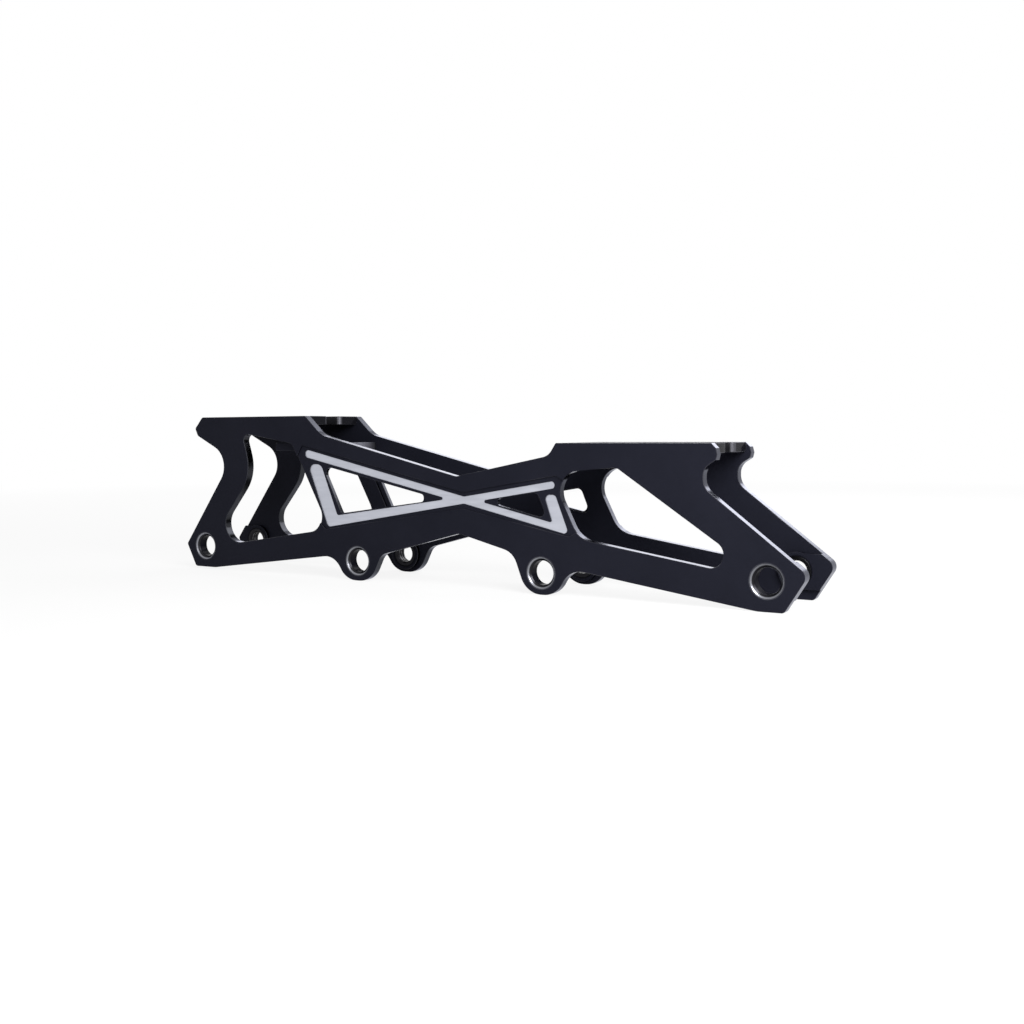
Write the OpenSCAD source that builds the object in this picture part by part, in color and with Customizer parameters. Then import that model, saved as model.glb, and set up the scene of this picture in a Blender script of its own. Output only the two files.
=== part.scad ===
// Inline skate frame for four wheels in a row.
// Two milled side rails are tied together by a heel deck, a bridge below it and a toe deck.
// The axles pass through chamfered bores in the right rail and screw into inserts in the left rail.
// X points to the toe, Y to the left and Z up. The origin is under the middle of the frame,
// at the level of its lowest edge.

/* [Axles] */
// Distance between neighbouring axles
axle_pitch = 77; // [75:0.5:80]
// How much lower the two middle axles sit than the outer two
rocker = 2; // [0:0.5:3]
// Diameter of the axle bores in the right rail
bore_d = 8.2; // [7:0.1:9]
// Chamfer at the outer mouth of each bore
bore_chamfer = 1.1; // [0.4:0.1:1.4]
// Diameter of the axle thread in each insert
thread_d = 6.6; // [5:0.1:7.4]
// Chamfer at both mouths of each thread
thread_chamfer = 0.4; // [0.2:0.1:0.6]
// Body diameter of each insert
insert_d = 9.4; // [9:0.1:10]
// Diameter of the flange on each insert's outer end
flange_d = 11; // [10.6:0.1:11.6]
// Thickness of that flange
flange_t = 1.2; // [0.8:0.1:2]
// Gap round an insert in its seat
insert_gap = 0.03; // [0.01:0.01:0.1]

/* [Rails] */
// Width over the two rails
frame_w = 33.6; // [32:0.2:37]
// Thickness of each rail
rail_t = 3.2; // [2.8:0.1:3.8]
// How far the axle bosses stand in from the rails
boss_h = 1.5; // [0.8:0.1:2]
// Diameter of the axle bosses
boss_d = 12.4; // [12:0.1:13]
// Width of the bars that carry the outer bosses on to the rails' ends
boss_bar_w = 11.6; // [10:0.1:12]
// Length of the rails behind the rear axle
rear_overhang = 10.2; // [9:0.1:14]
// Length of the rails ahead of the front axle
front_overhang = 12.5; // [11:0.1:16]
// Depth of the rear ends below the outer axles
rear_drop = 8.35; // [7:0.05:9]
// Depth of the front ends below the outer axles
front_drop = 9.25; // [7.5:0.05:10]
// Depth of the lobes below the middle axles
lobe_drop = 7.25; // [6.8:0.05:8.4]
// Width of a lobe's foot before its corners are rounded
lobe_foot = 11.4; // [10.5:0.1:13]
// Height of the valley in the waist's top edge above the outer axles
waist_top = 29.5; // [28:0.1:32]
// Height of the peak in the waist's lower edge above the outer axles
waist_bottom = 9.8; // [8:0.1:12]
// Horizontal width of the rear strut at its top
rear_strut_top_w = 14.8; // [12:0.1:17]
// Horizontal width of the rear strut at its foot
rear_strut_foot_w = 11.9; // [10:0.1:13.5]
// Horizontal width of the front strut at its top
front_strut_top_w = 21.9; // [19:0.1:24]
// Horizontal width of the front strut at its foot
front_strut_foot_w = 14.9; // [12.5:0.1:16.5]
// Depth of the rear lower beam at its rear end
rear_beam_end = 8.35; // [7:0.05:9]
// Depth of the rear lower beam at the second axle's lobe
rear_beam_lobe = 10; // [8.5:0.1:11]
// Depth of the front lower beam at the third axle's lobe
front_beam_lobe = 10.5; // [9:0.1:11.5]
// Depth of the front lower beam at its front end
front_beam_end = 9.8; // [8:0.1:11]

/* [Decks] */
// Height of the heel deck above the outer axles
heel_deck_h = 51.1; // [48:0.1:54]
// Length of the heel deck
heel_deck_len = 53.3; // [50:0.1:56]
// Height of the toe deck above the outer axles
toe_deck_h = 41; // [39:0.1:43]
// Length of the toe deck
toe_deck_len = 53.7; // [50:0.1:58]
// How far the toe deck's front edge lies behind the front axle
toe_setback = 17.7; // [14:0.1:20]
// Thickness of both decks
deck_t = 3.2; // [2.6:0.1:4]
// Width of the bolt slots in the decks
slot_w = 6.6; // [6:0.1:8]
// Distance between the two mounting bolts
mount_spacing = 165; // [160:0.5:170]
// Distance of the heel bolt from the heel deck's rear edge
heel_bolt_setback = 27.8; // [24:0.1:32]
// Length of each slot behind its bolt
slot_back = 12; // [6:0.5:16]
// Height of the bridge's top above the outer axles
bridge_h = 41; // [39.5:0.1:42]
// Length of the bridge
bridge_len = 27; // [20:0.1:30]
// How far the bridge's front edge lies behind the second axle
bridge_setback = 14.6; // [12:0.1:16]
// Thickness of the bridge
bridge_t = 3; // [2.4:0.1:4]
// Thickness of the tongues on the decks and the bridge
tongue_t = 1.6; // [1.2:0.1:2]
// Depth of those tongues in the rails
tongue_d = 1.2; // [0.8:0.1:1.4]
// Gap round a tongue in its groove
seat_gap = 0.04; // [0.02:0.01:0.1]

/* [Cross web] */
// Depth of the recess round the cross band
recess_depth = 0.5; // [0.3:0.1:0.8]
// Depth of the bare band below that recess
band_depth = 0.3; // [0.2:0.1:0.5]
// Depth of the relief milled behind the two windows in the cross
relief_depth = 1; // [0.6:0.1:1.2]
// Size of that relief as a multiple of the window
relief_grow = 1.1; // [1.06:0.01:1.14]
// Width of the arms of the band
arm_w = 2.35; // [1.8:0.05:2.8]
// How much wider the lower rear arm is at its outer end
arm_taper = 1.3; // [0:0.1:1.6]
// Horizontal width of the band's rear leg
rear_leg_w = 6.4; // [5:0.1:7]
// Horizontal width of the foot of the band's front leg
front_leg_w = 4.9; // [4:0.1:5.4]

/* [Hidden] */

$fn = 64;
cut = 1;
arc_step = 7;

// Axles, measured from the rear axle
axle_x = [for (i = [0:3]) i * axle_pitch];
axle_z = [0, -rocker, -rocker, 0];
mid_x = 1.5 * axle_pitch;

// Levels across the frame, for the right rail
outer_y = -frame_w / 2;
inner_y = outer_y + rail_t;
boss_y = inner_y + boss_h;

// Ends of the decks and of the bridge
toe_bolt_x = mid_x + axle_pitch;
heel_bolt_x = toe_bolt_x - mount_spacing;
heel_x0 = heel_bolt_x - heel_bolt_setback;
heel_x1 = heel_x0 + heel_deck_len;
toe_x1 = axle_x[3] - toe_setback;
toe_x0 = toe_x1 - toe_deck_len;
bridge_x1 = axle_x[1] - bridge_setback;
bridge_x0 = bridge_x1 - bridge_len;

// Corners are [x, z, radius], with x from the rear axle and z from the outer axles
waist = [mid_x + 5, waist_top, 4];
waist_under = [mid_x + 6, waist_bottom, 4];
heel_throat = [heel_x0 + 15.4, heel_deck_h - 16.2, 8.8];
rear_tip = [-rear_overhang, 0.6, 1];
rear_foot = [5, -rear_drop, 10];
front_foot = [axle_x[3] - 3, -front_drop, 15];
front_tip = [axle_x[3] + front_overhang, 2.3, 3];
toe_throat = [toe_x1 - 2.5, toe_deck_h - 13.5, 5.5];
lobe_foot_z = -rocker - lobe_drop;
lobe_r = 8;

// Foot and one shoulder of the lobe round a middle axle, on its side behind (-1) or ahead (1);
// the shoulder lies run further out than the foot's corner
function lobe_corner(i, side) = [axle_x[i] + side * lobe_foot / 2, lobe_foot_z, lobe_r];
function shoulder(i, side, run, z, radius) = [axle_x[i] + side * (lobe_foot / 2 + run), z, radius];

rear_lobe_back = shoulder(1, -1, 5.2, -0.5, 8);
rear_lobe_front = shoulder(1, 1, 5, 0.8, 5);
front_lobe_back = shoulder(2, -1, 5.1, 4.3, 7);
front_lobe_front = shoulder(2, 1, 5, -0.1, 9);

outline = [
    [heel_x0, heel_deck_h, 0.8],
    [heel_x0 - 4, heel_deck_h - 4.4, 1],
    [heel_x0 - 2.6, heel_deck_h - 7.3, 1.5],
    heel_throat,
    rear_tip,
    [-5.6, -rear_drop, 1.5],
    rear_foot,
    rear_lobe_back,
    lobe_corner(1, -1),
    lobe_corner(1, 1),
    rear_lobe_front,
    waist_under,
    front_lobe_back,
    lobe_corner(2, -1),
    lobe_corner(2, 1),
    front_lobe_front,
    front_foot,
    [axle_x[3] + 5.3, -front_drop, 1.5],
    front_tip,
    toe_throat,
    [toe_x1 - 2.5, toe_deck_h - 7.7, 4.5],
    [toe_x1 + 1.6, toe_deck_h - 5.1, 0.6],
    [toe_x1 + 2, toe_deck_h - 3.4, 0.6],
    [toe_x1 + 1.5, toe_deck_h - 1.5, 0.5],
    [toe_x1, toe_deck_h, 0.4],
    [toe_x0, toe_deck_h, 0.8],
    [toe_x0 - 2.7, toe_deck_h - 4.2, 5],
    waist,
    [heel_x1 + 7.7, heel_deck_h - 7.2, 9],
    [heel_x1, heel_deck_h, 0.8]
];

// Places on the straight line through corners a and b
function line_z(a, b, x) = a[1] + (b[1] - a[1]) * (x - a[0]) / (b[0] - a[0]);
function line_x(a, b, z) = a[0] + (b[0] - a[0]) * (z - a[1]) / (b[1] - a[1]);

// A corner raised by the depth of a beam
function raised(c, depth) = [c[0], c[1] + depth];

// Top edges of the lower beams and inner edges of the struts, along which the windows run
function rear_beam_top(x) =
    line_z(raised(rear_foot, rear_beam_end), raised(rear_lobe_back, rear_beam_lobe), x);
function front_beam_top(x) =
    line_z(raised(front_lobe_front, front_beam_lobe), raised(front_foot, front_beam_end), x);
function rear_strut_edge(z, width) = line_x(rear_tip, heel_throat, z) + width;
function front_strut_edge(z, width) = line_x(toe_throat, front_tip, z) - width;

rear_strut_top_z = heel_deck_h - 22.1;
rear_strut_foot_z = rear_beam_top(rear_tip[0] + rear_strut_foot_w);
front_strut_top_z = toe_deck_h - 7.8;
front_strut_foot_z = front_beam_top(axle_x[3]);
rear_leg_foot = axle_x[1] - 13.7;
front_leg_foot = axle_x[2] + 13.9;

rear_window_top = rear_leg_foot - 17.1;
bridge_seat = rear_window_top + 2;

rear_window = [
    [heel_throat[0] + 5.7, heel_deck_h - 6.2, 2.5],
    [rear_window_top, heel_deck_h - 10.3, 3],
    [rear_leg_foot, rear_beam_top(rear_leg_foot), 6],
    [rear_strut_edge(rear_strut_foot_z, rear_strut_foot_w), rear_strut_foot_z, 8],
    [rear_strut_edge(rear_strut_top_z, rear_strut_top_w), rear_strut_top_z, 15]
];

// The two windows in the cross have blunt tips
rear_cross_window = [
    [axle_x[1] - 16.6, 32.8, 2.2],
    [mid_x - 9.1, 22.9, 1.3],
    [mid_x - 9.1, 20.4, 1.3],
    [axle_x[1] - 7.6, 15.2, 1.2]
];

front_cross_window = [
    [mid_x + 21.5, 22.2, 1],
    [axle_x[2] - 1.6, 24.8, 2.2],
    [axle_x[2] + 2, 16, 1.7],
    [mid_x + 21.5, 20, 1]
];

front_window = [
    [axle_x[2] + 3.2, toe_deck_h - 9.9, 7],
    [front_strut_edge(front_strut_top_z, front_strut_top_w), front_strut_top_z, 3],
    [front_strut_edge(front_strut_foot_z, front_strut_foot_w), front_strut_foot_z, 4.2],
    [front_leg_foot, front_beam_top(front_leg_foot), 9]
];

// Arms of the band, each with the middle of its outer end and its width there
crossing = [mid_x + 7.8, 21.4];
rear_upper_arm = [[axle_x[1] - 24.6, 37.2], arm_w + 0.4 * arm_taper];
rear_lower_arm = [[axle_x[1] - 11, 12.3], arm_w + arm_taper];
front_upper_arm = [[axle_x[2] + 4.9, 27.4], arm_w];
front_lower_arm = [[axle_x[2] + 8, 12.7], arm_w];

// Edges of the band's legs, each from its top to its foot
rear_leg_outer = [[axle_x[1] - 23.4, 33.1], [axle_x[1] - 14.4, 10.3]];
rear_leg_inner = [for (p = rear_leg_outer) p + [rear_leg_w, 0]];
front_leg_outer = [[axle_x[2] + 5.2, 24], [axle_x[2] + 9.8, 12.3]];
front_leg_inner = [front_leg_outer[0] - [0.87 * front_leg_w, 0], front_leg_outer[1] - [front_leg_w, 0]];

recess = [
    [axle_x[1] - 25.7, 40.1, 1],
    [crossing[0], crossing[1] + 2.7, 3],
    [axle_x[2] + 5.8, 30.3, 1],
    [axle_x[2] + 11, 27, 0],
    [axle_x[2] + 15, 13, 0],
    [axle_x[2] + 10.5, 10.5, 1],
    [crossing[0], crossing[1] - 2.9, 3],
    [axle_x[1] - 14.8, 9.1, 1],
    [axle_x[1] - 19, 12.5, 0],
    [axle_x[1] - 29.5, 34, 0]
];

// Rounded outlines

function unit(v) = v / norm(v);
function flat(c) = [c[0], c[1]];

// Points of the arc that rounds corner b on the way from a to c
function corner_arc(a, b, c) =
    let (
        back = unit(flat(a) - flat(b)),
        on = unit(flat(c) - flat(b)),
        half = acos(back * on) / 2,
        room = 0.49 * min(norm(flat(a) - flat(b)), norm(flat(c) - flat(b))),
        reach = min(b[2] / tan(half), room),
        radius = reach * tan(half),
        centre = flat(b) + unit(back + on) * radius / sin(half),
        from = flat(b) + back * reach - centre,
        turn = cross(back, on) < 0 ? 180 - 2 * half : 2 * half - 180,
        start = atan2(from[1], from[0]),
        steps = ceil(abs(turn) / arc_step)
    )
    [for (i = [0:steps]) centre + radius * [cos(start + turn * i / steps), sin(start + turn * i / steps)]];

function rounded(corners) =
    let (n = len(corners))
    [for (i = [0:n - 1])
        each corners[i][2] == 0
            ? [flat(corners[i])]
            : corner_arc(corners[(i + n - 1) % n], corners[i], corners[(i + 1) % n])];

function grown(corners, factor) =
    let (centre = [for (k = [0:1]) [for (c = corners) c[k]] * [for (c = corners) 1] / len(corners)])
    [for (c = corners)
        [centre[0] + factor * (c[0] - centre[0]), centre[1] + factor * (c[1] - centre[1]), c[2]]];

// One edge of an arm, from the crossing to its outer end; side is 1 to the left on the way out
function arm_edge(arm, side) =
    let (
        along = unit(arm[0] - crossing),
        across = side * [-along[1], along[0]] / 2
    )
    [crossing + across * arm_w, arm[0] + across * arm[1]];

// Where two edges meet, as a corner
function meet(e, f, radius) =
    let (
        u = e[1] - e[0],
        v = f[1] - f[0]
    )
    [each e[0] + u * cross(f[0] - e[0], v) / cross(u, v), radius];

// The round outer end of an arm, one corner on each side
function arm_end(arm, side) = [each arm_edge(arm, side)[1], 0.48 * arm[1]];

band = [
    arm_end(rear_upper_arm, -1),
    meet(arm_edge(rear_upper_arm, -1), arm_edge(front_upper_arm, 1), 2),
    arm_end(front_upper_arm, 1),
    arm_end(front_upper_arm, -1),
    meet(arm_edge(front_upper_arm, -1), arm_edge(front_lower_arm, 1), 0.55),
    meet(arm_edge(front_lower_arm, 1), front_leg_inner, 0.6),
    [each front_leg_inner[0], 1.5],
    [each front_leg_outer[0], 1.5],
    meet(front_leg_outer, arm_edge(front_lower_arm, -1), 1.2),
    meet(arm_edge(front_lower_arm, -1), arm_edge(rear_lower_arm, 1), 2),
    meet(arm_edge(rear_lower_arm, 1), rear_leg_outer, 1.6),
    [each rear_leg_outer[0], 3],
    [each rear_leg_inner[0], 3],
    meet(rear_leg_inner, arm_edge(rear_lower_arm, -1), 1),
    meet(arm_edge(rear_lower_arm, -1), arm_edge(rear_upper_arm, 1), 0.55),
    arm_end(rear_upper_arm, 1)
];

rail_points = rounded(outline);
low_z = min([for (p = rail_points) p[1]]);
rear_x = min([for (p = rail_points) p[0]]);
front_x = max([for (p = rail_points) p[0]]);

// Moves a piece from the axles' own coordinates to the frame's origin
module placed() {
    translate([-(rear_x + front_x) / 2, 0, -low_z])
    children();
}

// A flat shape in X and Z, given its thickness from y0 to y1
module slab(y0, y1) {
    translate([0, y1, 0])
    rotate([90, 0, 0])
    linear_extrude(y1 - y0)
    children();
}

// A round bar or cone along Y at one axle
module along_axle(i, y0, y1, d0, d1) {
    translate([axle_x[i], y0, axle_z[i]])
    rotate([-90, 0, 0])
    cylinder(h = y1 - y0, d1 = d0, d2 = d1);
}

// Bosses round the axles; those of the outer axles run out to the rails' ends
module bosses() {
    for (i = [1, 2])
        translate([axle_x[i], axle_z[i]])
        circle(d = boss_d);
    for (i = [0, 3])
        intersection() {
            polygon(rail_points);
            translate([axle_x[i], axle_z[i]]) {
                circle(d = boss_d);
                translate([i == 0 ? -2 * boss_d : 0, -boss_bar_w / 2])
                square([2 * boss_d, boss_bar_w]);
            }
        }
}

// The tongue along both sides of a plate, grown by gap all round
module tongue(x0, x1, top, thick, gap) {
    reach = frame_w / 2 - rail_t + tongue_d + gap;
    translate([x0 - gap, -reach, top - (thick + tongue_t) / 2 - gap])
    cube([x1 - x0 + 2 * gap, 2 * reach, tongue_t + 2 * gap]);
}

// A plate from x0 to x1 between the rails
module plate(x0, x1, top, thick) {
    half = frame_w / 2 - rail_t - seat_gap;
    translate([x0, -half, top - thick])
    cube([x1 - x0, 2 * half, thick]);
}

// The right rail without its axle bores
module rail_blank() {
    difference() {
        union() {
            slab(outer_y, inner_y)
            difference() {
                polygon(rail_points);
                polygon(rounded(rear_window));
                polygon(rounded(rear_cross_window));
                polygon(rounded(front_cross_window));
                polygon(rounded(front_window));
            }
            slab(inner_y, boss_y)
            bosses();
        }
        slab(outer_y - cut, outer_y + recess_depth)
        polygon(rounded(recess));
        slab(outer_y - cut, outer_y + recess_depth + band_depth)
        polygon(rounded(band));
        slab(inner_y - relief_depth, inner_y + cut) {
            polygon(rounded(grown(rear_cross_window, relief_grow)));
            polygon(rounded(grown(front_cross_window, relief_grow)));
        }
        tongue(heel_x0, heel_x1, heel_deck_h, deck_t, seat_gap);
        tongue(bridge_seat, bridge_x1, bridge_h, bridge_t, seat_gap);
        tongue(toe_x0, toe_x1, toe_deck_h, deck_t, seat_gap);
    }
}

module right_rail() {
    color("#24252b")
    placed()
    difference() {
        rail_blank();
        for (i = [0:3]) {
            along_axle(i, outer_y - cut, boss_y + cut, bore_d, bore_d);
            along_axle(i, outer_y - cut, outer_y + bore_chamfer, bore_d + 2 * (bore_chamfer + cut), bore_d);
        }
    }
}

module left_rail() {
    seat_d = insert_d + 2 * insert_gap;
    flange_seat_d = flange_d + 2 * insert_gap;
    color("#24252b")
    placed()
    difference() {
        mirror([0, 1, 0])
        rail_blank();
        for (i = [0:3]) {
            along_axle(i, -boss_y - cut, -outer_y + cut, seat_d, seat_d);
            along_axle(i, -outer_y - flange_t - insert_gap, -outer_y + cut, flange_seat_d, flange_seat_d);
        }
    }
}

// A deck with a bolt slot that runs out of its front edge
module deck(x0, x1, top, bolt_x) {
    slot_end = bolt_x - slot_back + slot_w / 2;
    difference() {
        union() {
            plate(x0, x1, top, deck_t);
            tongue(x0, x1, top, deck_t, 0);
        }
        translate([slot_end, 0, top - deck_t - cut])
        cylinder(h = deck_t + 2 * cut, d = slot_w);
        translate([slot_end, -slot_w / 2, top - deck_t - cut])
        cube([x1 - slot_end + cut, slot_w, deck_t + 2 * cut]);
    }
}

module heel_deck() {
    color("#2b2c33")
    placed()
    deck(heel_x0, heel_x1, heel_deck_h, heel_bolt_x);
}

module toe_deck() {
    color("#2b2c33")
    placed()
    deck(toe_x0, toe_x1, toe_deck_h, toe_bolt_x);
}

// The bridge is held ahead of the rear windows, and reaches back across them
module heel_bridge() {
    color("#2b2c33")
    placed() {
        plate(bridge_x0, bridge_x1, bridge_h, bridge_t);
        tongue(bridge_seat, bridge_x1, bridge_h, bridge_t, 0);
    }
}

// A threaded bush whose flange sits in the left rail's outer face
module axle_insert(i) {
    mouth_d = thread_d + 2 * (thread_chamfer + cut);
    color("#4a4b50")
    placed()
    difference() {
        union() {
            along_axle(i, -boss_y, -outer_y, insert_d, insert_d);
            along_axle(i, -outer_y - flange_t, -outer_y, flange_d, flange_d);
        }
        along_axle(i, -boss_y - cut, -outer_y + cut, thread_d, thread_d);
        along_axle(i, -boss_y - cut, -boss_y + thread_chamfer, mouth_d, thread_d);
        along_axle(i, -outer_y - thread_chamfer, -outer_y + cut, thread_d, mouth_d);
    }
}

right_rail();
left_rail();
heel_deck();
heel_bridge();
toe_deck();
axle_insert(0);  // rear_axle_insert
axle_insert(1);  // mid_rear_axle_insert
axle_insert(2);  // mid_front_axle_insert
axle_insert(3);  // front_axle_insert
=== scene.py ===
import math

import bmesh
import bpy
import numpy as np
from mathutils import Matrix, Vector
from mathutils.geometry import delaunay_2d_cdt


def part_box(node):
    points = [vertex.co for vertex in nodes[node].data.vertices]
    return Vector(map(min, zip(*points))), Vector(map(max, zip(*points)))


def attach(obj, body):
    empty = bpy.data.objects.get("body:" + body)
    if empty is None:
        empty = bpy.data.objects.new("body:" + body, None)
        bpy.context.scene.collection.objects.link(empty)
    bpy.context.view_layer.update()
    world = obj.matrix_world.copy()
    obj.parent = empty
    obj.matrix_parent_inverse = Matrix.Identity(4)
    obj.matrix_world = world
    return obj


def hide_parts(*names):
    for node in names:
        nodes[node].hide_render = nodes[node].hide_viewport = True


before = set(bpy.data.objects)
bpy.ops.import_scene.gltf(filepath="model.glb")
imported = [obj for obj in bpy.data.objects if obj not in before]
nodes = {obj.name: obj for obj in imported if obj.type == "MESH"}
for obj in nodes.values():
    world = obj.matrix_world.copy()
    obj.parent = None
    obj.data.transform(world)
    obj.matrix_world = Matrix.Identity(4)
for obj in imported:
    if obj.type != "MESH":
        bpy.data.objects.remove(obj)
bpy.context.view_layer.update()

scene = bpy.context.scene
railFace = -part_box("right_rail")[0].y  # both rails' outer faces stand this far from the middle
insertNames = (
    "rear_axle_insert",
    "mid_rear_axle_insert",
    "mid_front_axle_insert",
    "front_axle_insert",
)
axles = [sum(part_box(name), Vector()) / 2 for name in insertNames]
print("frame loaded:", len(nodes), "nodes")


def addNode(tree, kind, sockets=None, **settings):
    node = tree.nodes.new(kind)
    for name, value in settings.items():
        setattr(node, name, value)
    for socket, value in (sockets or {}).items():
        if isinstance(value, bpy.types.NodeSocket):
            tree.links.new(value, node.inputs[socket])
        else:
            node.inputs[socket].default_value = value
    return node


def maths(tree, operation, *values):
    node = addNode(tree, "ShaderNodeMath", dict(enumerate(values)), operation=operation)
    return node.outputs[0]


def vectorMaths(tree, operation, *values):
    node = addNode(tree, "ShaderNodeVectorMath", dict(enumerate(values)), operation=operation)
    return node.outputs


def times(tree, first, *others):
    product = first
    for other in others:
        product = maths(tree, "MULTIPLY", product, other)
    return product


def absolute(tree, value):
    return maths(tree, "ABSOLUTE", value)


def ramp(tree, value, low, high, start=0.0, end=1.0):
    sockets = {0: value, 1: low, 2: high, 3: start, 4: end}
    return addNode(tree, "ShaderNodeMapRange", sockets, clamp=True).outputs[0]


def between(tree, value, low, high, soft):
    rise = ramp(tree, value, low - soft, low + soft)
    return times(tree, rise, ramp(tree, value, high + soft, high - soft))


def mixColour(tree, share, first, second):
    sockets = {0: share, 6: first, 7: second}
    return addNode(tree, "ShaderNodeMix", sockets, data_type="RGBA").outputs[2]


def mixValue(tree, share, first, second):
    return addNode(tree, "ShaderNodeMix", {0: share, 2: first, 3: second}).outputs[0]


def separate(tree, vector):
    return addNode(tree, "ShaderNodeSeparateXYZ", {0: vector}).outputs


def stretched(tree, vector, factors):
    return vectorMaths(tree, "MULTIPLY", vector, factors)[0]


# Noise seldom leaves the middle of its range, so it is spread out before use
noiseRange = {"low": 0.3, "high": 0.7}


def noise(tree, vector, grain, detail=2.0):
    sockets = {"Vector": vector, "Scale": 1 / grain, "Detail": detail}
    return addNode(tree, "ShaderNodeTexNoise", sockets).outputs[0]


def spreadOut(tree, value, start=0.0, end=1.0):
    return ramp(tree, value, noiseRange["low"], noiseRange["high"], start, end)


def around(tree, value, middle, spread):
    return spreadOut(tree, value, middle - spread, middle + spread)


def opaque(colour):
    return (*colour, 1.0)


def newFinish(name):
    finish = bpy.data.materials.new(name)
    finish.use_nodes = True
    return finish, finish.node_tree, finish.node_tree.nodes["Principled BSDF"]


def addRelief(tree, shader, height):
    bump = addNode(tree, "ShaderNodeBump", {"Strength": 1.0, "Distance": 1.0, "Height": height})
    tree.links.new(bump.outputs[0], shader.inputs["Normal"])


# A finish is built up in coats, each laid over the last where its share is above 0
def cover(tree, under, share, coat):
    colour = coat["colour"]
    if isinstance(colour, tuple):
        colour = opaque(colour)
    return {
        "colour": mixColour(tree, share, under["colour"], colour),
        "roughness": mixValue(tree, share, under["roughness"], coat["roughness"]),
        "metallic": mixValue(tree, share, under["metallic"], coat["metallic"]),
    }


# Wear, and the painted highlights laid on worn edges, come through unevenly, and follow the
# skin's mottling
patches = {"low": 0.2, "high": 0.6, "least": 0.6}


def patchy(tree, mottle):
    return ramp(tree, mottle, patches["low"], patches["high"], patches["least"], 1.0)


# The axle bores: near-black inside as painted shade, a glossy black chamfer, and a lighter ring
# at the mouth that is wear with a painted highlight
boreMouth = {
    "bore": 0.0041,
    "chamfer": 0.0052,  # radius of the chamfer's outer edge
    "chamferDepth": 0.0012,
    "ringIn": 0.00045,
    "ringOut": 0.00040,
    "ringDepth": 0.0007,
    "soft": 0.00004,
    # black: the bore's walls painted near-black without sheen, as painted shade inside the hole
    "black": {"colour": (0.0050, 0.0052, 0.0080), "roughness": 0.3, "metallic": 0.0},
    "gloss": {"colour": (0.022, 0.022, 0.025), "roughness": 0.3, "metallic": 1.0},
    # ring: lighter metal round the mouth, partly wear and partly a painted highlight
    "ring": {"colour": (0.23, 0.235, 0.26), "roughness": 0.3, "metallic": 0.9},
}
# Bare aluminium in the shallow X pocket, cut after the anodising
bareBand = {
    "depth": 0.0008,  # below the rail's outer face
    "reach": 0.00012,  # above and below that level
    "flat": 0.9,  # the band takes only faces that look out this squarely
    "metal": (0.475, 0.49, 0.55),
    "metalPale": (0.54, 0.555, 0.615),
    "roughness": 0.5,
    "spread": 0.06,
    "metallic": 1.0,
    "stroke": 0.0011,
    "sweep": (0.12, 1.0, 1.0),  # draws the strokes out along the rail
}


def axleDistance(tree, place):
    nearest = None
    flat = stretched(tree, place, (1.0, 0.0, 1.0))
    for axle in axles:
        away = vectorMaths(tree, "DISTANCE", flat, (axle.x, 0.0, axle.z))["Value"]
        nearest = away if nearest is None else maths(tree, "MINIMUM", nearest, away)
    return nearest


def coverBores(tree, surface, below, layers):
    fromAxle = axleDistance(tree, surface["place"])
    edge, soft = boreMouth["chamfer"], boreMouth["soft"]
    # Painted shade: the inside of each bore is laid near-black and without sheen
    inBore = maths(tree, "LESS_THAN", fromAxle, edge)
    layers = cover(tree, layers, inBore, boreMouth["black"])
    onChamfer = times(
        tree,
        between(tree, fromAxle, boreMouth["bore"], edge, soft),
        maths(tree, "LESS_THAN", below, boreMouth["chamferDepth"]),
    )
    layers = cover(tree, layers, onChamfer, boreMouth["gloss"])
    # The ring round each mouth is wear with a painted highlight, lighter all round
    onRing = times(
        tree,
        between(tree, fromAxle, edge - boreMouth["ringIn"], edge + boreMouth["ringOut"], soft),
        maths(tree, "LESS_THAN", below, boreMouth["ringDepth"]),
        surface["rim"],
        patchy(tree, surface["mottle"]),
    )
    return cover(tree, layers, onRing, boreMouth["ring"])


def coverRail(tree, surface, layers):
    below = maths(tree, "SUBTRACT", railFace, absolute(tree, surface["across"]))
    layers = coverBores(tree, surface, below, layers)

    level = maths(tree, "COMPARE", below, bareBand["depth"], bareBand["reach"])
    flat = maths(tree, "GREATER_THAN", surface["broad"], bareBand["flat"])
    swept = stretched(tree, surface["place"], bareBand["sweep"])
    strokes = noise(tree, swept, bareBand["stroke"], detail=3.0)
    dark, pale = opaque(bareBand["metal"]), opaque(bareBand["metalPale"])
    bare = {
        "colour": mixColour(tree, spreadOut(tree, strokes), dark, pale),
        "roughness": around(tree, strokes, bareBand["roughness"], bareBand["spread"]),
        "metallic": bareBand["metallic"],
    }
    return cover(tree, layers, times(tree, level, flat), bare)


# The decks' bolt slots, with lighter corners where they run out of the front: wear, with a
# painted highlight on them
boltSlot = {
    "half": 0.0034,  # just over half of a slot's width
    "corner": 0.0018,  # radius of those corners
    "segments": 8,
    "sideways": 0.5,  # a slot's walls look across at least this squarely
    "turnFrom": 0.06,
    "turnFull": 0.35,
    "wall": {"colour": (0.035, 0.035, 0.040), "roughness": 0.36, "metallic": 0.9},
    # the corners' lighter coat: wear with a painted highlight
    "lighter": {"colour": (0.088, 0.088, 0.100), "roughness": 0.36, "metallic": 0.9},
}


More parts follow.
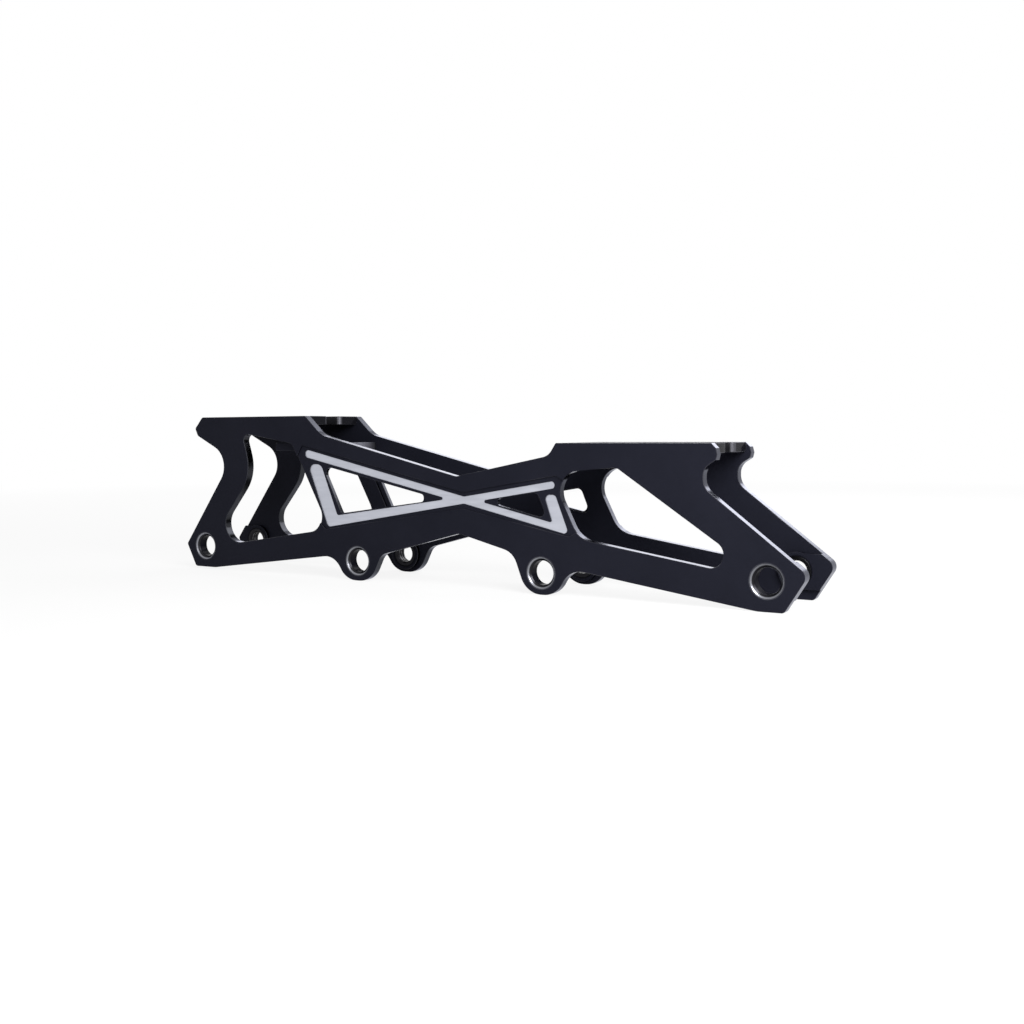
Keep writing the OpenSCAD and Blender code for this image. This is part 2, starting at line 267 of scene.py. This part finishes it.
def coverSlot(tree, surface, layers):
    forward = surface["facing"][0]
    sideways = absolute(tree, surface["facing"][1])
    reach = boltSlot["half"] + boltSlot["corner"]
    nearSlot = maths(tree, "LESS_THAN", absolute(tree, surface["across"]), reach)
    onWall = times(tree, nearSlot, maths(tree, "GREATER_THAN", sideways, boltSlot["sideways"]))
    layers = cover(tree, layers, onWall, boltSlot["wall"])
    turning = times(tree, forward, sideways)  # most halfway round a corner
    onCorner = ramp(tree, turning, boltSlot["turnFrom"], boltSlot["turnFull"])
    # The corners' lighter coat is wear with a painted highlight
    lighter = times(tree, nearSlot, onCorner, patchy(tree, surface["mottle"]))
    return cover(tree, layers, lighter, boltSlot["lighter"])


# A painted highlight on the bridge's front edge, a lighter patch that fades away from its middle
bridgeHighlight = {
    "middle": 0.0038,
    "core": 0.001,
    "reach": 0.010,
    "frontFrom": 0.3,  # how squarely a face looks to the front
    "frontFull": 0.7,
    "lighter": {"colour": (0.155, 0.155, 0.185), "roughness": 0.4, "metallic": 0.2},
}


def coverBridge(tree, surface, layers):
    # Painted highlight: lighter towards the patch's middle on the faces that look to the front
    away = absolute(tree, maths(tree, "SUBTRACT", surface["across"], bridgeHighlight["middle"]))
    patch = ramp(tree, away, bridgeHighlight["reach"], bridgeHighlight["core"])
    front = ramp(tree, surface["facing"][0], bridgeHighlight["frontFrom"], bridgeHighlight["frontFull"])
    return cover(tree, layers, times(tree, patch, front), bridgeHighlight["lighter"])


# Black anodising: a bead-blasted skin on the broad faces, thinner and glossier on the cut edges
anodising = {
    "skin": (0.0086, 0.0091, 0.0142),  # dyed oxide, a trace of blue
    "skinPale": (0.0106, 0.0111, 0.0172),
    "skinRoughness": 0.44,
    "skinSpread": 0.05,
    "mottle": 0.021,
    "pit": 0.00023,
    "pitRange": (0.25, 0.75),
    "pitDepth": 0.000010,
    "wallFrom": 0.35,  # a face that looks out less squarely than this turns into a cut edge
    "wallFull": 0.05,
    "edgeRoughness": 0.19,
    "edgeSpread": 0.04,
    "millStep": 0.0006,
    "millStretch": 0.03,
    "millDepth": 0.0000006,
    "rim": (0.28, 0.94),  # how squarely the broken edges look out
    "rimSoft": 0.05,
    "rubbed": (0.080, 0.080, 0.090),
    "rubbedRange": (0.42, 0.72),
    "rubbedMost": 0.6,
    "rubbedMetallic": 0.6,
    "specular": 0.03,
    "tint": (0.90, 0.91, 1.0),
}


def anodisedFinish(name, cut, coverMore):
    finish, tree, shader = newFinish(name)
    place = addNode(tree, "ShaderNodeTexCoord").outputs["Object"]
    facing = separate(tree, addNode(tree, "ShaderNodeNewGeometry").outputs["True Normal"])
    broad = absolute(tree, facing[cut["flatAxis"]])  # 1 on the broad faces, 0 on the walls
    wall = ramp(tree, broad, anodising["wallFrom"], anodising["wallFull"])
    rim = between(tree, broad, *anodising["rim"], anodising["rimSoft"])
    onCut = wall
    if cut["cutAxis"] is not None:
        onCut = times(tree, wall, absolute(tree, facing[cut["cutAxis"]]))

    mottle = noise(tree, place, anodising["mottle"], detail=4.0)
    pits = noise(tree, place, anodising["pit"], detail=1.0)
    along = [1.0, 1.0, 1.0]
    along[cut["flatAxis"]] = anodising["millStretch"]
    strokes = noise(tree, stretched(tree, place, along), anodising["millStep"])

    dark, pale = opaque(anodising["skin"]), opaque(anodising["skinPale"])
    rough, spread = anodising["skinRoughness"], anodising["skinSpread"]
    layers = {
        "colour": mixColour(tree, spreadOut(tree, mottle), dark, pale),
        "roughness": ramp(tree, pits, *anodising["pitRange"], rough - spread, rough + spread),
        "metallic": 0.0,
    }
    polish = around(tree, strokes, anodising["edgeRoughness"], anodising["edgeSpread"])
    edge = {"colour": cut["colour"], "roughness": polish, "metallic": cut["metallic"]}
    layers = cover(tree, layers, onCut, edge)
    rubbing = ramp(tree, mottle, *anodising["rubbedRange"], 0.0, anodising["rubbedMost"])
    rubbed = {
        "colour": anodising["rubbed"],
        "roughness": polish,
        "metallic": anodising["rubbedMetallic"],
    }
    layers = cover(tree, layers, times(tree, rim, rubbing), rubbed)
    surface = {
        "place": place,
        "across": separate(tree, place)[1],
        "facing": facing,
        "broad": broad,
        "rim": rim,
        "mottle": mottle,
    }
    layers = coverMore(tree, surface, layers)

    tree.links.new(layers["colour"], shader.inputs["Base Color"])
    tree.links.new(layers["roughness"], shader.inputs["Roughness"])
    tree.links.new(layers["metallic"], shader.inputs["Metallic"])
    pitted = times(tree, pits, anodising["pitDepth"])
    milled = times(tree, strokes, anodising["millDepth"])
    addRelief(tree, shader, mixValue(tree, wall, pitted, milled))
    shader.inputs["Specular IOR Level"].default_value = anodising["specular"]
    shader.inputs["Specular Tint"].default_value = opaque(anodising["tint"])
    return finish


# The milled pieces: each solid's flat faces are filled afresh, then its outer edges are broken
edgeBreak = {
    "width": 0.0002,
    "mouthWidth": 0.0004,  # at the outer mouths of the bores
    "mouthReach": 0.0001,
    "share": 0.35,  # the most that a break takes of a low wall
    "sharperThan": math.radians(14),
    "segments": 2,
}
faceFill = {
    "margin": 0.0005,  # how far inside a face's rim the first points of its fill lie
    "clear": 0.8,  # the share of that margin that they keep from every rim
    "spacing": 0.002,
    "samePlane": math.radians(0.2),
    "onFace": 1e-5,  # nearer than this counts as on a face
    "weld": 1e-6,
    "exact": 1e-9,
}


def flatRegions(mesh):
    mesh.faces.ensure_lookup_table()
    done = set()
    regions = []
    for seed in mesh.faces:
        if seed.index in done:
            continue
        done.add(seed.index)
        region = [seed]
        for face in region:
            for edge in face.edges:
                for other in edge.link_faces:
                    level = seed.normal.angle(other.normal) < faceFill["samePlane"]
                    if level and other.index not in done:
                        done.add(other.index)
                        region.append(other)
        regions.append(region)
    return regions


def distanceToRim(points, starts, ends):
    runs = ends - starts
    share = ((points[:, None] - starts) * runs).sum(2) / (runs * runs).sum(1)
    nearest = starts + np.clip(share, 0, 1)[:, :, None] * runs
    return np.linalg.norm(points[:, None] - nearest, axis=2).min(1)


def insideRim(points, starts, ends):
    level = points[:, None, 1]
    above = (starts[:, 1] > level) != (ends[:, 1] > level)
    rise = np.where(ends[:, 1] == starts[:, 1], 1.0, ends[:, 1] - starts[:, 1])
    crossing = starts[:, 0] + (level - starts[:, 1]) / rise * (ends[:, 0] - starts[:, 0])
    return (above & (points[:, None, 0] < crossing)).sum(1) % 2 == 1


def fillPoints(starts, ends):
    runs = ends - starts
    lengths = np.linalg.norm(runs, axis=1)
    inward = np.column_stack((-runs[:, 1], runs[:, 0])) / lengths[:, None]
    points = []
    for start, run, length, side in zip(starts, runs, lengths, inward):
        count = max(1, round(length / faceFill["spacing"]))
        for step in range(count):
            points.append(start + run * (step + 0.5) / count + side * faceFill["margin"])
    points = np.array(points)
    points = points[insideRim(points, starts, ends)]
    if len(points):
        clear = faceFill["clear"] * faceFill["margin"]
        points = points[distanceToRim(points, starts, ends) > clear]
    return points


def refill(mesh, region):
    normal = region[0].normal.copy()
    across = normal.orthogonal().normalized()
    up = normal.cross(across)
    inRegion = {face.index for face in region}
    rim = []  # each rim edge once, with the face on its left
    for face in region:
        for loop in face.loops:
            if any(other.index not in inRegion for other in loop.edge.link_faces):
                rim.append((loop.vert, loop.link_loop_next.vert))
    verts = list(dict.fromkeys(vert for edge in rim for vert in edge))
    order = {vert: place for place, vert in enumerate(verts)}
    height = verts[0].co.dot(normal)
    flat = np.array([(vert.co.dot(across), vert.co.dot(up)) for vert in verts])
    edges = [(order[first], order[second]) for first, second in rim]
    starts = flat[[first for first, second in edges]]
    ends = flat[[second for first, second in edges]]

    points = [Vector(point) for point in (*flat, *fillPoints(starts, ends))]
    filled = delaunay_2d_cdt(points, edges, [], 0, faceFill["exact"])
    places, triangles, origins = filled[0], filled[2], filled[3]
    spots = np.array([tuple(place) for place in places])
    kept = insideRim(spots[np.array(triangles)].sum(1) / 3, starts, ends)
    bmesh.ops.delete(mesh, geom=region, context="FACES")
    corners = []
    for place, origin in zip(places, origins):
        known = [verts[index] for index in origin if index < len(verts)]
        if known:
            corners.append(known[0])
        else:
            spot = across * place.x + up * place.y + normal * height
            corners.append(mesh.verts.new(spot))
    for triangle, wanted in zip(triangles, kept):
        if wanted:
            mesh.faces.new([corners[corner] for corner in triangle]).tag = True


def cleanFaces(mesh):
    diagonals = []
    for region in flatRegions(mesh):
        if len(region) == 2:
            diagonals += [edge for edge in region[0].edges if edge in region[1].edges[:]]
        elif len(region) > 2:
            refill(mesh, region)
    bmesh.ops.dissolve_edges(mesh, edges=diagonals)


def onMouth(vert):
    onFace = railFace - abs(vert.co.y) < faceFill["onFace"]
    away = min(math.hypot(vert.co.x - axle.x, vert.co.z - axle.z) for axle in axles)
    return onFace and abs(away - boreMouth["chamfer"]) < edgeBreak["mouthReach"]


def markBreaks(mesh):
    weight = mesh.edges.layers.float.new("bevel_weight_edge")
    for edge in mesh.edges:
        if len(edge.link_faces) != 2 or edge.calc_face_angle() < edgeBreak["sharperThan"]:
            continue
        edge.smooth = False
        if not edge.is_convex:
            continue
        start, end = (vert.co for vert in edge.verts)
        run = (end - start).normalized()
        low = edgeBreak["width"] / edgeBreak["share"]
        for face in edge.link_faces:
            if not face.tag:
                reach = max((vert.co - start).cross(run).length for vert in face.verts)
                low = min(low, reach)
        width = low * edgeBreak["share"]
        if all(onMouth(vert) for vert in edge.verts):
            width = edgeBreak["mouthWidth"]
        edge[weight] = width / edgeBreak["mouthWidth"]


def roundSlot(mesh, front):
    bmesh.ops.dissolve_limit(
        mesh, angle_limit=faceFill["samePlane"], verts=mesh.verts, edges=mesh.edges,
    )

    def atMouth(vert):
        return front - vert.co.x < faceFill["onFace"] and abs(vert.co.y) < boltSlot["half"]

    corners = [edge for edge in mesh.edges if all(atMouth(vert) for vert in edge.verts)]
    bmesh.ops.bevel(
        mesh, geom=corners, offset=boltSlot["corner"], segments=boltSlot["segments"],
        profile=0.5, affect="EDGES", clamp_overlap=False, loop_slide=False,
    )


def addPiece(mesh, name, finish):
    data = bpy.data.meshes.new(name)
    mesh.to_mesh(data)
    mesh.free()
    data.materials.append(finish)
    piece = bpy.data.objects.new(name, data)
    scene.collection.objects.link(piece)
    return piece


def millPiece(name, finish, slotted=False):
    mesh = bmesh.new()
    mesh.from_mesh(nodes[name].data)
    bmesh.ops.remove_doubles(mesh, verts=mesh.verts, dist=faceFill["weld"])
    mesh.normal_update()
    if slotted:
        roundSlot(mesh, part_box(name)[1].x)
        mesh.normal_update()
    cleanFaces(mesh)
    mesh.normal_update()
    markBreaks(mesh)
    for face in mesh.faces:
        face.smooth = True
        face.material_index = 0
    piece = addPiece(mesh, name + "_milled", finish)
    breaks = piece.modifiers.new("edgeBreak", "BEVEL")
    breaks.width = edgeBreak["mouthWidth"]
    breaks.segments = edgeBreak["segments"]
    breaks.limit_method = "WEIGHT"
    breaks.use_clamp_overlap = False
    breaks.loop_slide = False
    breaks.harden_normals = True
    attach(piece, "root")
    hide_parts(name)


# For each kind of piece, the axis that its broad faces look along and the look of its cut edges,
# which on the bridge are only those that look along cutAxis
railCut = {"flatAxis": 1, "cutAxis": None, "colour": (0.030, 0.031, 0.035), "metallic": 1.0}
deckCut = {"flatAxis": 2, "cutAxis": None, "colour": (0.006, 0.006, 0.008), "metallic": 0.0}
bridgeCut = {"flatAxis": 2, "cutAxis": 0, "colour": (0.012, 0.012, 0.015), "metallic": 0.2}

railFinish = anodisedFinish("anodised_rail", railCut, coverRail)
deckFinish = anodisedFinish("anodised_deck", deckCut, coverSlot)
bridgeFinish = anodisedFinish("anodised_bridge", bridgeCut, coverBridge)
for railName in ("right_rail", "left_rail"):
    millPiece(railName, railFinish)
for deckName in ("heel_deck", "toe_deck"):
    millPiece(deckName, deckFinish, slotted=True)
millPiece("heel_bridge", bridgeFinish)
print("rails and decks milled")

# Threaded inserts, each turned with a real helical thread in the place of its plain solid
threadedInsert = {
    "crest": 0.0033,  # the thread's inner radius
    "root": 0.00368,
    "flank": 3.2,  # steepness of the groove's sides
    "mouth": 0.0037,
    "mouthDepth": 0.0004,
    "pitch": 0.00125,
    "body": 0.0047,
    "flange": 0.0055,
    "flangeDepth": 0.0012,
    "edge": 0.00012,
    "around": 72,
    "perPitch": 10,
    "weld": 1e-7,
}
# Their blackened steel, brighter where the thread has been used
insertSteel = {
    "oxide": (0.008, 0.008, 0.010),
    "oxidePale": (0.016, 0.016, 0.019),
    "bright": (0.10, 0.10, 0.105),
    "brightRange": (0.4, 0.7),
    "crestFade": 0.00012,
    "turning": 0.00016,
    "turningDepth": 0.000002,
    "cloud": 0.0016,
    "roughness": 0.34,
    "spread": 0.07,
    "metallic": 0.9,
}


def insertFinish():
    finish, tree, shader = newFinish("blackened_steel")
    place = addNode(tree, "ShaderNodeTexCoord").outputs["Object"]
    parts = separate(tree, place)
    across, up = parts[0], parts[2]
    squares = maths(tree, "ADD", times(tree, across, across), times(tree, up, up))
    radius = maths(tree, "SQRT", squares)
    cloud = noise(tree, place, insertSteel["cloud"], detail=4.0)

    dark, pale = opaque(insertSteel["oxide"]), opaque(insertSteel["oxidePale"])
    colour = mixColour(tree, spreadOut(tree, cloud), dark, pale)
    crest = threadedInsert["crest"]
    onCrest = ramp(tree, radius, crest + insertSteel["crestFade"], crest)
    lighter = times(tree, onCrest, ramp(tree, cloud, *insertSteel["brightRange"]))
    colour = mixColour(tree, lighter, colour, opaque(insertSteel["bright"]))
    rough = around(tree, cloud, insertSteel["roughness"], insertSteel["spread"])
    tree.links.new(colour, shader.inputs["Base Color"])
    tree.links.new(rough, shader.inputs["Roughness"])

    turned = maths(tree, "SINE", times(tree, radius, math.tau / insertSteel["turning"]))
    addRelief(tree, shader, times(tree, turned, insertSteel["turningDepth"]))
    shader.inputs["Metallic"].default_value = insertSteel["metallic"]
    return finish


def boreRadius(along, length):
    crest, mouth = threadedInsert["crest"], threadedInsert["mouth"]
    toEnd = min(along, length - along)
    return max(crest, mouth - toEnd * (mouth - crest) / threadedInsert["mouthDepth"])


def grooveRadius(phase):
    crest, root, flank = (threadedInsert[key] for key in ("crest", "root", "flank"))
    height = flank / 2 - flank * abs(phase - 0.5)  # a V, cut to a flat crest and a flat root
    return crest + (root - crest) * (1.0 - min(1.0, max(0.0, height)))


def ringAt(mesh, radius, along):
    count = threadedInsert["around"]
    turn = [math.tau * step / count for step in range(count)]
    return [mesh.verts.new((radius * math.cos(a), along, radius * math.sin(a))) for a in turn]


def joinRings(mesh, first, second):
    count = len(first)
    for step in range(count):
        after = (step + 1) % count
        mesh.faces.new((first[step], first[after], second[after], second[step]))


def cutThread(mesh, length):
    count, perPitch = threadedInsert["around"], threadedInsert["perPitch"]
    pitch = threadedInsert["pitch"]
    rowCount = math.ceil(length / pitch + 1) * perPitch
    rows = []
    for row in range(rowCount + perPitch + 1):
        start = (row / perPitch - 1) * pitch
        line = []
        for step in range(count):
            angle = math.tau * step / count
            along = start + pitch * step / count
            held = min(max(along, 0.0), length)
            radius = max(boreRadius(held, length), grooveRadius((row / perPitch) % 1.0))
            if held != along:
                radius = threadedInsert["mouth"]
            spot = (radius * math.cos(angle), held, radius * math.sin(angle))
            line.append(mesh.verts.new(spot))
        rows.append(line)
    for row in range(rowCount):
        for step in range(count):
            last = step == count - 1  # where a turn runs on into the next one
            first, second = rows[row], rows[row + 1]
            nextFirst = rows[row + perPitch][0] if last else first[step + 1]
            nextSecond = rows[row + perPitch + 1][0] if last else second[step + 1]
            mesh.faces.new((first[step], nextFirst, nextSecond, second[step]))


def turnOutside(mesh, length):
    mouth, body, flange = (threadedInsert[key] for key in ("mouth", "body", "flange"))
    edge = threadedInsert["edge"]
    shoulder = length - threadedInsert["flangeDepth"]
    outline = [
        (mouth, 0.0),
        (body - edge, 0.0),
        (body, edge),
        (body, shoulder),
        (flange, shoulder),
        (flange, length - edge),
        (flange - edge, length),
        (mouth, length),
    ]
    rings = [ringAt(mesh, radius, along) for radius, along in outline]
    for first, second in zip(rings, rings[1:]):
        joinRings(mesh, first, second)


def buildInsert(name, finish):
    low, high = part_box(name)
    weld = threadedInsert["weld"]
    mesh = bmesh.new()
    cutThread(mesh, high.y - low.y)
    turnOutside(mesh, high.y - low.y)
    bmesh.ops.remove_doubles(mesh, verts=mesh.verts, dist=weld)
    bmesh.ops.dissolve_degenerate(mesh, edges=mesh.edges, dist=weld)
    loose = [vert for vert in mesh.verts if not vert.link_faces]
    bmesh.ops.delete(mesh, geom=loose, context="VERTS")
    bmesh.ops.recalc_face_normals(mesh, faces=mesh.faces)
    piece = addPiece(mesh, name + "_turned", finish)
    piece.location = ((low.x + high.x) / 2, low.y, (low.z + high.z) / 2)
    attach(piece, "root")
    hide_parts(name)


steelFinish = insertFinish()
for insertName in insertNames:
    buildInsert(insertName, steelFinish)
print("threaded inserts turned")

# A white sweep: rays that show a background see white, and the floor keeps a pale shadow
studio = {
    "white": (1.0, 1.0, 1.0),
    "ambient": 0.30,  # what the white room gives to matt surfaces
    "floorSize": 6.0,
    "floorColour": (0.86, 0.86, 0.86),
    "floorGlow": 0.87,
    "glowFrom": 0.25,  # the floor fades into the white room between these distances
    "glowTo": 0.9,
}


def showsBackground(tree):
    path = addNode(tree, "ShaderNodeLightPath").outputs
    rays = maths(tree, "MAXIMUM", path["Is Camera Ray"], path["Is Glossy Ray"])
    return maths(tree, "MAXIMUM", rays, path["Is Transmission Ray"])


def mixShader(tree, share, first, second):
    sockets = {0: share, 1: first.outputs[0], 2: second.outputs[0]}
    return addNode(tree, "ShaderNodeMixShader", sockets).outputs[0]


def whiteRoom():
    world = bpy.data.worlds.new("white_room")
    world.use_nodes = True
    scene.world = world
    tree = world.node_tree
    tree.nodes.clear()
    white = opaque(studio["white"])
    sockets = {"Color": white, "Strength": studio["ambient"]}
    room = addNode(tree, "ShaderNodeBackground", sockets)
    shown = addNode(tree, "ShaderNodeBackground", {"Color": white, "Strength": 1.0})
    surface = mixShader(tree, showsBackground(tree), room, shown)
    addNode(tree, "ShaderNodeOutputWorld", {"Surface": surface})


def floorFinish():
    finish = bpy.data.materials.new("pale_floor")
    finish.use_nodes = True
    tree = finish.node_tree
    tree.nodes.clear()
    matt = addNode(tree, "ShaderNodeBsdfDiffuse", {"Color": opaque(studio["floorColour"])})
    sockets = {"Color": opaque(studio["white"]), "Strength": 1.0}
    glow = addNode(tree, "ShaderNodeEmission", sockets)
    place = addNode(tree, "ShaderNodeTexCoord").outputs["Object"]
    away = vectorMaths(tree, "LENGTH", place)["Value"]
    shown = ramp(tree, away, studio["glowFrom"], studio["glowTo"], studio["floorGlow"], 1.0)
    share = times(tree, showsBackground(tree), shown)
    addNode(tree, "ShaderNodeOutputMaterial", {"Surface": mixShader(tree, share, matt, glow)})
    return finish


def paleFloor():
    half = studio["floorSize"] / 2
    corners = [(-half, -half, 0), (half, -half, 0), (half, half, 0), (-half, half, 0)]
    data = bpy.data.meshes.new("floor")
    data.from_pydata(corners, [], [(0, 1, 2, 3)])
    data.materials.append(floorFinish())
    floor = bpy.data.objects.new("floor", data)
    scene.collection.objects.link(floor)


# Soft boxes, each aimed at the middle of the part
softBoxes = {
    "front": {"from": (0.16, -0.9, 0.3), "size": (0.24, 0.6), "power": 1.3},
    "fill": {"from": (0.27, -0.18, 0.21), "size": (0.2, 0.2), "power": 1.9},
    "behind": {"from": (0.17, 0.5, 0.40), "size": (0.56, 0.44), "power": 2.7},
    "low": {"from": (-0.3, 0.5, 0.2), "size": (0.5, 0.2), "power": 0.41},
}
aim = Vector((0.0, 0.0, 0.03))


def addSoftBox(name, box):
    data = bpy.data.lights.new(name + "_box", "AREA")
    data.shape = "RECTANGLE"
    data.size, data.size_y = box["size"]
    data.energy = box["power"]
    lamp = bpy.data.objects.new(name + "_box", data)
    lamp.location = box["from"]
    lamp.rotation_euler = (aim - lamp.location).to_track_quat("-Z", "Y").to_euler()
    lamp.visible_camera = False
    scene.collection.objects.link(lamp)


whiteRoom()
paleFloor()
for boxName, softBox in softBoxes.items():
    addSoftBox(boxName, softBox)
print("room lit")

# The camera, low in front of the toe end, placed from the rear axle
viewpoint = {
    "place": (0.342072, -0.347078, 0.044879),
    "turn": (86.0051, 0.3449, 31.0553),  # degrees about X, Y and Z
    "lens": 40.605,
    "sensor": 36.0,
    "nearest": 0.01,
}
cameraData = bpy.data.cameras.new("camera")
cameraData.lens = viewpoint["lens"]
cameraData.sensor_width = viewpoint["sensor"]
cameraData.clip_start = viewpoint["nearest"]
camera = bpy.data.objects.new("camera", cameraData)
camera.location = Vector(viewpoint["place"]) + Vector((axles[0].x, 0.0, axles[0].z))
camera.rotation_euler = [math.radians(angle) for angle in viewpoint["turn"]]
scene.collection.objects.link(camera)
scene.camera = camera
scene.view_settings.view_transform = "Standard"
print("camera placed")
